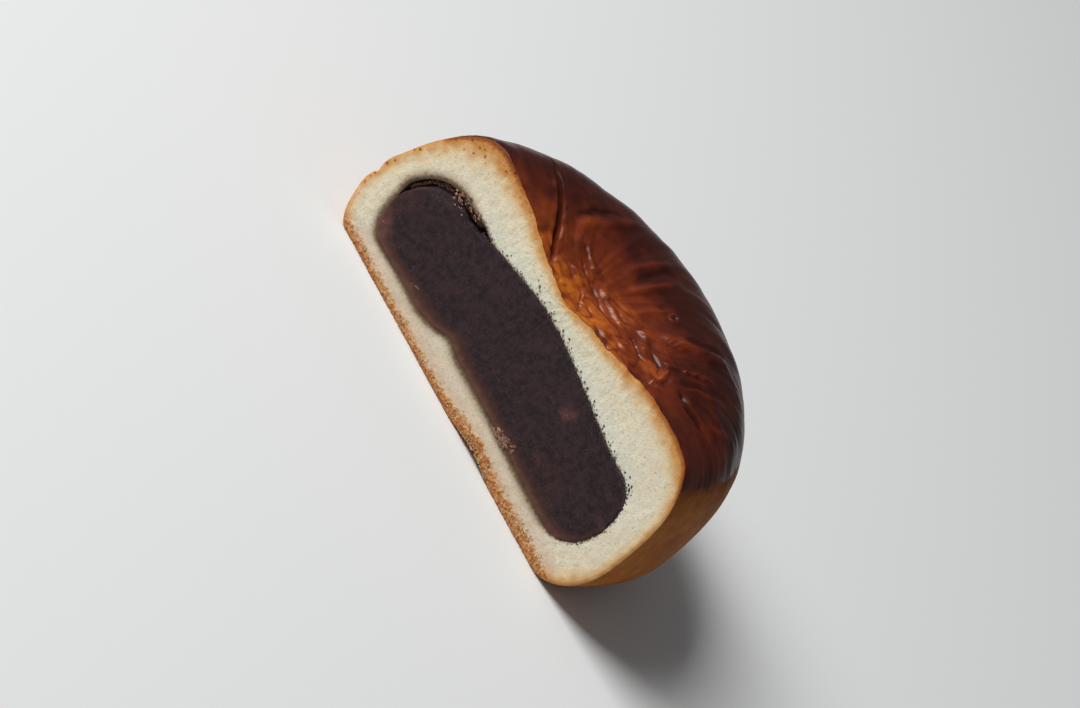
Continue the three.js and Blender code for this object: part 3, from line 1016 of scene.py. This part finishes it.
def crumb_finish():
    """Pale fine crumb that browns to the skin and to the toasted, grainy base, with painted shade in its
    pores.
    """
    material, n, shader = new_finish("Crumb")
    wide, mid, fine = n.noise(7 * MM, 3), n.noise(1.6 * MM, 3), n.noise(0.4 * MM, 3, rough=0.65)
    small, grain = n.swing(n.noise(0.6 * MM, 3), 1.0), n.swing(fine, 1.0)
    base, paste = n.field("base_depth"), n.field("paste_depth")
    x = n.add("ShaderNodeSeparateXYZ", Vector=n.where()).outputs[0]

    # how far the crumb has baked: by the skin, in its rind, along the base, and in burnt spots
    uneven = n.plus(n.times(small, 0.4), n.swing(mid, 0.7), n.swing(n.noise(3.6 * MM, 2), 0.7))
    near_skin = n.plus(n.field("browned"), uneven)
    rind = n.math("MULTIPLY_ADD", small, 0.9, n.field("rind"), clamp=True)
    bake = n.plus(n.fade(near_skin, -0.3, 1.2, 0.38, 0.0), n.fade(near_skin, 0.1, 4.0, 0.08, 0.0))
    bake = n.plus(bake, n.times(rind, 0.36))
    toast = n.plus(base, n.swing(n.noise(0.9 * MM, 3), 2.6))
    toast = n.fade(n.math("SUBTRACT", toast, n.fade(x, -6 * MM, 6 * MM, 0.0, 0.7)), 0.7, 2.6, 1.0, 0.0)
    speckle = n.fade(n.plus(n.cells(0.42 * MM, "Color"), grain), 0.0, 1.0, 0.30, 0.58)
    bake = n.math("MAXIMUM", bake, n.times(toast, speckle))
    spots = n.fade(n.plus(n.cells(1.3 * MM), n.times(small, 0.7)), 0.08, 0.26, 1.0, 0.0)
    spots = n.times(spots, n.fade(x, -21 * MM, -17 * MM, 1.0, 0.0))
    spots = n.times(spots, n.fade(near_skin, 0.1, 1.0, 1.0, 0.0))
    colour = n.ramped("Baked Colour", n.math("MULTIPLY_ADD", spots, 0.25, bake), BAKED)

    colour = n.tint(n.fade(wide, 0.3, 0.75, 0.0, 0.5), colour, CLOUD_TINT)
    colour = n.tint(n.fade(base, 2.5, 7.0, 1.0, 0.0), colour, BASE_TINT)
    blotch = n.fade(n.noise(0.9 * MM, 3, (1, 1, 0.7), 0.6), 0.40, 0.66, 0.0, 0.55)
    colour = n.tint(blotch, colour, BLOTCH_TINT)
    colour = n.tint(n.fade(fine, 0.42, 0.68, 0.0, 0.6), colour, GRAIN_TINT)
    # Painted shade in the crumb's pores and holes.
    some = n.fade(n.cells(0.70 * MM, "Color"), 0.35, 0.8)
    pores = n.times(n.fade(n.cells(0.70 * MM), 0.12, 0.32, 0.55, 0.0), some)
    hole_shade = n.times(n.fade(n.cells(0.36 * MM), 0.10, 0.34, 0.4, 0.0), n.fade(mid, 0.35, 0.6, 0.3, 1.0))
    colour = n.mix(n.times(n.math("MAXIMUM", pores, hole_shade), n.fade(near_skin, 0.2, 1.1)), colour, PORE_SHADE)

    # stains beside the paste, thinner above it and at the +X end, where the knife dragged specks of it along
    above = n.times(n.fade(n.field("along"), 2.2, 2.9), n.fade(x, -23 * MM, -18 * MM))
    end = n.fade(x, 24 * MM, 30 * MM)
    clean = n.math("MULTIPLY_ADD", end, 3.0, n.math("MULTIPLY_ADD", above, 1.6, 1.0))
    blur = n.times(n.plus(small, paste), clean)
    colour = n.tint(n.times(n.fade(paste, 0.5, 5.0, 1.0, 0.0), above), colour, COOL_TINT)
    colour = n.mix(n.fade(blur, 0.3, 2.4, 0.78, 0.0), colour, SOAKED)
    colour = n.mix(n.fade(blur, 0.1, 1.3, 0.95, 0.0), colour, STAINED)
    drag = n.fade(n.math("MULTIPLY_ADD", grain, 4.6, paste), 0.1, 0.55, 0.85, 0.0)
    colour = n.mix(n.times(drag, n.math("MAXIMUM", above, end)), colour, DRAGGED)
    n.set(shader, "Base Color", colour)
    n.set(shader, "Roughness", n.math("MULTIPLY_ADD", fine, 0.12, 0.82))
    n.set(shader, "Specular IOR Level", 0.2)
    height = n.plus(n.times(fine, 0.6), n.times(n.fade(n.cells(0.62 * MM), 0.05, 0.3), 0.5))
    n.bump(shader, n.plus(height, n.times(n.times(toast, n.cells(0.42 * MM)), 1.6)), 0.5, 0.16 * MM)
    return material


def paste_finish():
    """Dense dark bean paste, finely grained, redder along its lower edge and where a bean skin shows."""
    material, n, shader = new_finish("Bean paste")
    mid, fine = n.noise(1.2 * MM, 3), n.noise(0.32 * MM, 3, rough=0.7)
    colour = n.mix(n.fade(mid, 0.35, 0.65), PASTE_DARK, PASTE_LIGHT)
    colour = n.mix(n.fade(n.noise(0.7 * MM, 3), 0.45, 0.70, 0.0, 0.65), colour, PASTE_MOTTLED)
    colour = n.mix(n.math("ADD", n.field("red"), n.swing(mid, 0.5), clamp=True), colour, PASTE_RED)
    colour = n.mix(n.field("stain"), colour, PASTE_STAIN)
    colour = n.mix(n.field("bean_skin"), colour, BEAN_SKIN)
    grain = n.times(n.fade(fine, 0.50, 0.72, 0.0, 0.5), n.fade(n.cells(0.5 * MM, "Color"), 0.2, 0.9))
    n.set(shader, "Base Color", n.mix(grain, colour, PASTE_GRAIN))
    n.set(shader, "Roughness", n.math("MULTIPLY_ADD", mid, 0.2, 0.6))
    n.set(shader, "Specular IOR Level", 0.15)
    n.bump(shader, n.plus(fine, n.times(n.noise(0.6 * MM, 3), 0.8)), 0.6, 0.16 * MM)
    return material


def scrap_finish(name, dark, light, rough):
    """A speck's own shade, between two colours by its tint."""
    material, n, shader = new_finish(name)
    colour = n.mix(n.field("tint"), dark, light)
    n.set(shader, "Base Color", n.mix(n.fade(n.noise(0.3 * MM, 2), 0.4, 0.7, 0.0, 0.4), colour, dark))
    n.set(shader, "Roughness", rough)
    return material


# ---- Settings


class AnpanBread(bpy.types.PropertyGroup):
    """Sizes of the half bun. A list gives one size at each of five stations round it, from +X to -X."""

    STATIONS = (
        "reach", "belly_height", "rim_height", "rim_place", "foot_place", "side_fullness", "rim_fullness",
    )
    reach: FloatVectorProperty(
        name="Reach", description="From the middle of the cut out to the widest line", size=5,
        default=(0.0376, 0.0436, 0.0422, 0.0400, 0.0376), unit="LENGTH")
    belly_height: FloatVectorProperty(
        name="Belly height", description="Height of the widest line", size=5,
        default=(0.0120, 0.0090, 0.0110, 0.0098, 0.0095), unit="LENGTH")
    rim_height: FloatVectorProperty(
        name="Rim height", description="Height of the raised rim round the dimple", size=5,
        default=(0.0330, 0.0356, 0.0353, 0.0334, 0.0317), unit="LENGTH")
    rim_place: FloatVectorProperty(
        name="Rim place", description="Where the rim stands, as a share of the reach", size=5,
        default=(0.60, 0.54, 0.55, 0.60, 0.68), subtype="NONE")
    foot_place: FloatVectorProperty(
        name="Foot place", description="Where the flat base ends, as a share of the reach", size=5,
        default=(0.78, 0.86, 0.85, 0.87, 0.88), subtype="NONE")
    side_fullness: FloatVectorProperty(
        name="Side fullness", description="How far up the side stays upright", size=5,
        default=(0.96, 0.71, 0.75, 0.62, 0.44), subtype="NONE")
    rim_fullness: FloatVectorProperty(
        name="Rim fullness", description="How far out the top stays level", size=5,
        default=(0.58, 0.55, 0.60, 0.54, 0.50), subtype="NONE")
    glaze_height: FloatVectorProperty(
        name="Glaze height", description="How low the egg glaze reaches", size=5,
        default=(0.0294, 0.0290, 0.0270, 0.0270, 0.0252), unit="LENGTH")
    dimple_height: FloatProperty(
        name="Dimple height", description="Top of the bun in the middle of its dimple",
        default=0.0280, unit="LENGTH")
    fold_depth: FloatProperty(
        name="Fold depth", description="Depth of the folds that run in to the dimple",
        default=0.00036, unit="LENGTH")
    puff_height: FloatProperty(
        name="Puff height", description="Height of the puffs in the dimple", default=0.00026, unit="LENGTH")
    crease_depth: FloatProperty(
        name="Crease depth", description="Depth of the one deep crease", default=0.0008, unit="LENGTH")
    steps_around: IntProperty(
        name="Steps around", description="Mesh steps round the half bun", default=300, subtype="UNSIGNED")
    face_rings: IntProperty(
        name="Face rings", description="Mesh rings across the cut face", default=22, subtype="UNSIGNED")


class AnpanPaste(bpy.types.PropertyGroup):
    """Sizes of the bean paste, at the same five stations."""

    STATIONS = ("reach", "belly_height", "floor_height", "floor_place", "roof_height", "roof_place")
    reach: FloatVectorProperty(
        name="Reach", description="From the middle of the cut out to the widest line", size=5,
        default=(0.0320, 0.0374, 0.0360, 0.0340, 0.0320), unit="LENGTH")
    belly_height: FloatVectorProperty(
        name="Belly height", description="Height of the widest line", size=5,
        default=(0.0139, 0.0136, 0.0134, 0.0128, 0.0116), unit="LENGTH")
    floor_height: FloatVectorProperty(
        name="Floor height", description="Height of the paste's floor", size=5,
        default=(0.0055, 0.0056, 0.0054, 0.0048, 0.0041), unit="LENGTH")
    floor_place: FloatVectorProperty(
        name="Floor place", description="Where the floor ends, as a share of the reach", size=5,
        default=(0.80, 0.79, 0.79, 0.82, 0.86), subtype="NONE")
    roof_height: FloatVectorProperty(
        name="Roof height", description="Height of the paste's roof", size=5,
        default=(0.0217, 0.0223, 0.0225, 0.0217, 0.0207), unit="LENGTH")
    roof_place: FloatVectorProperty(
        name="Roof place", description="Where the roof ends, as a share of the reach", size=5,
        default=(0.84, 0.76, 0.74, 0.74, 0.75), subtype="NONE")
    middle_floor: FloatProperty(
        name="Middle floor", description="Height of the floor in the middle", default=0.0063, unit="LENGTH")
    middle_roof: FloatProperty(
        name="Middle roof", description="Height of the roof in the middle", default=0.0243, unit="LENGTH")
    steam_gap: FloatProperty(
        name="Steam gap", description="Gap that steam left over the paste's shoulder",
        default=0.0010, unit="LENGTH")
    tuck: FloatProperty(
        name="Tuck", description="How far the crumb reaches in under the paste's edge",
        default=0.0002, unit="LENGTH")
    proud: FloatProperty(
        name="Proud", description="How far the paste stands out of the cut face",
        default=0.0001, unit="LENGTH")
    grain: FloatProperty(
        name="Mesh grain", description="Size of the even mesh's squares", default=0.00034, unit="LENGTH")
    steps_around: IntProperty(
        name="Steps around", description="Mesh steps round the pocket", default=24, subtype="UNSIGNED")


class AnpanScraps(bpy.types.PropertyGroup):
    """Numbers and sizes of the small scraps on the cut."""

    crumb_count: IntProperty(
        name="Paste crumbs", description="Crumbs of paste dragged over the crumb",
        default=1300, subtype="UNSIGNED")
    crumb_size: FloatProperty(
        name="Paste crumb size", description="Radius of a large paste crumb", default=0.00014, unit="LENGTH")
    # Partly painted shade: these crumbs also stand in for the steam gap's shade.
    gap_crumb_count: IntProperty(
        name="Stained crumbs", description="Brown crumb in the room that steam left over the paste",
        default=1100, subtype="UNSIGNED")
    grain_count: IntProperty(
        name="Toasted grains", description="Grains along the base of the cut",
        default=1500, subtype="UNSIGNED")
    grain_size: FloatProperty(
        name="Grain size", description="Radius of a large toasted grain", default=0.00023, unit="LENGTH")


class AnpanStage(bpy.types.PropertyGroup):
    """Camera and floor."""

    azimuth: FloatProperty(
        name="Azimuth", description="Camera's turn round the bun", default=math.radians(18), subtype="ANGLE")
    elevation: FloatProperty(
        name="Elevation", description="Camera's height over the horizon",
        default=math.radians(27), subtype="ANGLE")
    roll: FloatProperty(
        name="Roll", description="Camera's roll, as the half bun leans in the hand",
        default=math.radians(52.4), subtype="ANGLE")
    distance: FloatProperty(
        name="Distance", description="From the camera to the cut face", default=0.619, unit="LENGTH")
    lens: FloatProperty(
        name="Lens", description="Focal length in mm", default=134.0, unit="CAMERA")
    aim: FloatVectorProperty(
        name="Aim", description="Point looked at, from the middle of the cut's lower edge", size=3,
        default=(0.00331, 0.0, 0.01973), subtype="TRANSLATION")
    floor_colour: FloatVectorProperty(
        name="Floor", description="Colour of the floor", size=3, default=(0.78, 0.79, 0.785), subtype="COLOR")


# ---- Operators


class ANPAN_OT_bread(bpy.types.Operator):
    """Bake the half bun: glazed crust, cut crumb and the pocket for the paste"""

    bl_idname = "anpan.bread"
    bl_label = "Bake the bread"

    def execute(self, context):
        bread, paste = context.scene.anpan_bread, context.scene.anpan_paste
        ob = bread_mesh(bread, paste)
        bread_relief(ob, bread, paste)
        inward = read(ob.data, "inward")
        ob.data.materials.append(crust_finish())
        ob.data.materials.append(crumb_finish())
        for face in ob.data.polygons:
            face.material_index = int(max(inward[v] for v in face.vertices) > 0)
        smooth(ob, 50)
        hand_over(ob, bread, "bread", "bread")
        return {"FINISHED"}


class ANPAN_OT_paste(bpy.types.Operator):
    """Fill the half bun with bean paste, cut flush with the crumb"""

    bl_idname = "anpan.paste"
    bl_label = "Fill with bean paste"

    def execute(self, context):
        bread, paste = context.scene.anpan_bread, context.scene.anpan_paste
        ob = paste_mesh(paste)
        paste_relief(ob, paste)
        ob.data.materials.append(paste_finish())
        smooth(ob, 70)
        hand_over(ob, bread, "bean_paste", "bean_paste")
        return {"FINISHED"}


class ANPAN_OT_scraps(bpy.types.Operator):
    """Scatter the small scraps over the cut: paste crumbs, bean skins, torn crumb, grains, and stained crumb
    darkened as painted shade in the steam gap
    """

    bl_idname = "anpan.scraps"
    bl_label = "Scatter the scraps"

    def execute(self, context):
        bread, paste = context.scene.anpan_bread, context.scene.anpan_paste
        scraps = context.scene.anpan_scraps
        chance = np.random.default_rng(11)
        kinds = {
            "paste_crumbs": dragged_crumbs(chance, paste, scraps),
            "bean_skins": heaps(chance, SKIN_HEAPS, 0.45),
            "torn_crumb": heaps(chance, TORN_HEAPS, 0.7),
            "stained_and_shaded_crumb": gap_filling(chance, scraps),
            "toasted_grains": base_grains(chance, scraps),
        }
        for name, (spots, sizes, tints) in kinds.items():
            finish, squash, seed, dark, light, rough, slot = SCRAP_LOOKS[name]
            ob = scattered(name, spots, sizes, tints, squash, seed)
            ob.data.materials.append(scrap_finish(finish, dark, light, rough))
            hand_over(ob, bread, slot)
        return {"FINISHED"}


class ANPAN_OT_stage(bpy.types.Operator):
    """Set a plain pale floor, soft light and the camera"""

    bl_idname = "anpan.stage"
    bl_label = "Set the stage"

    def execute(self, context):
        scene, stage = context.scene, context.scene.anpan_stage
        fresh_start()
        bpy.ops.mesh.primitive_plane_add(size=4)
        floor = context.object
        floor.name = "floor"
        material, _, shader = new_finish("Floor")
        shader.inputs["Base Color"].default_value = (*stage.floor_colour, 1)
        shader.inputs["Roughness"].default_value = 0.9
        floor.data.materials.append(material)

        aim = Vector(middle_of_cut(scene.anpan_bread)) + Vector(stage.aim)
        bpy.ops.object.light_add(type="AREA")
        lamp = context.object
        lamp.name = "Key"
        way = Vector(KEY_DIRECTION).normalized()
        lamp.location = aim + way * KEY_DISTANCE
        lamp.rotation_euler = way.to_track_quat("Z", "Y").to_euler()
        lamp.data.size = KEY_SIZE
        lamp.data.energy = KEY_POWER
        world = bpy.data.worlds.new("Studio")
        world.use_nodes = True
        sky = world.node_tree.nodes["Background"]
        sky.inputs["Color"].default_value = SKY_COLOUR
        sky.inputs["Strength"].default_value = SKY_STRENGTH
        scene.world = world

        a, e, r = stage.azimuth, stage.elevation, stage.roll
        back = Vector((math.sin(a) * math.cos(e), -math.cos(a) * math.cos(e), math.sin(e)))
        level = Vector((math.cos(a), math.sin(a), 0))
        up = back.cross(level)
        right = level * math.cos(r) + up * math.sin(r)
        above = up * math.cos(r) - level * math.sin(r)
        bpy.ops.object.camera_add()
        camera = context.object
        turned = Matrix((right, above, back)).transposed().to_4x4()
        camera.matrix_world = Matrix.Translation(aim + back * stage.distance) @ turned
        camera.data.lens = stage.lens
        camera.data.sensor_width = SENSOR_WIDTH
        scene.camera = camera
        scene.view_settings.view_transform = "Standard"
        return {"FINISHED"}


class ANPAN_PT_panel(bpy.types.Panel):
    """Lists the steps in order"""

    bl_label = "Cut Anpan"
    bl_idname = "ANPAN_PT_panel"
    bl_space_type = "VIEW_3D"
    bl_region_type = "UI"
    bl_category = "Anpan"

    def draw(self, context):
        for step in OPERATORS:
            self.layout.operator(step.bl_idname)


OPERATORS = (ANPAN_OT_bread, ANPAN_OT_paste, ANPAN_OT_scraps, ANPAN_OT_stage)
SETTINGS = {
    "anpan_bread": AnpanBread,
    "anpan_paste": AnpanPaste,
    "anpan_scraps": AnpanScraps,
    "anpan_stage": AnpanStage,
}


def register():
    for group in SETTINGS.values():
        bpy.utils.register_class(group)
    for name, group in SETTINGS.items():
        setattr(bpy.types.Scene, name, PointerProperty(type=group))
    for kind in (*OPERATORS, ANPAN_PT_panel):
        bpy.utils.register_class(kind)


def unregister():
    for kind in reversed((*OPERATORS, ANPAN_PT_panel)):
        bpy.utils.unregister_class(kind)
    for name, group in SETTINGS.items():
        delattr(bpy.types.Scene, name)
        bpy.utils.unregister_class(group)


def main():
    """Builds every piece and the stage."""
    register()
    bpy.ops.anpan.bread()
    bpy.ops.anpan.paste()
    bpy.ops.anpan.scraps()
    bpy.ops.anpan.stage()


if __name__ == "__main__":
    main()
